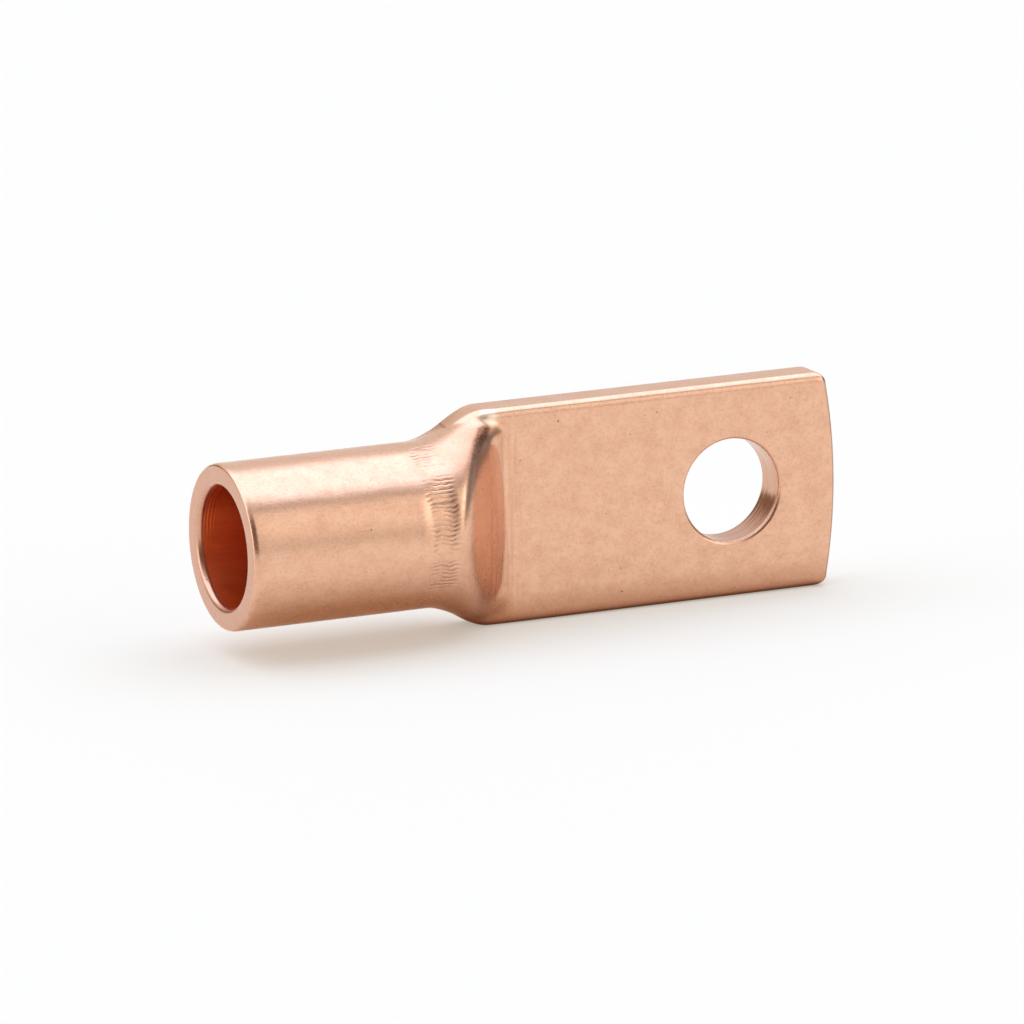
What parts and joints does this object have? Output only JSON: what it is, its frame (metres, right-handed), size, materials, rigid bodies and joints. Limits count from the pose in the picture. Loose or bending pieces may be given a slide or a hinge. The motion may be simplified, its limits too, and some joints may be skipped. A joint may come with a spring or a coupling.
{
  "type": "cable lug",
  "caption": "Tubular copper cable lug: a round crimp barrel with a cable bore, pressed flat into a palm with a stud hole that bolts the cable's end to a terminal.",
  "frame": {"origin": "middle of the stud hole, in the palm's middle plane", "axes": "+X along the barrel from the mouth towards the palm's tip, +Y along the stud hole, out of the palm's contact face, +Z across the palm, up from the long edge that the lug stands on"},
  "size_m": [0.0542, 0.0135, 0.0178],
  "materials": {
    "copper": "satin bare copper"
  },
  "bodies": {
    "root": {"cable_lug": "copper"}
  },
  "joints": []
}
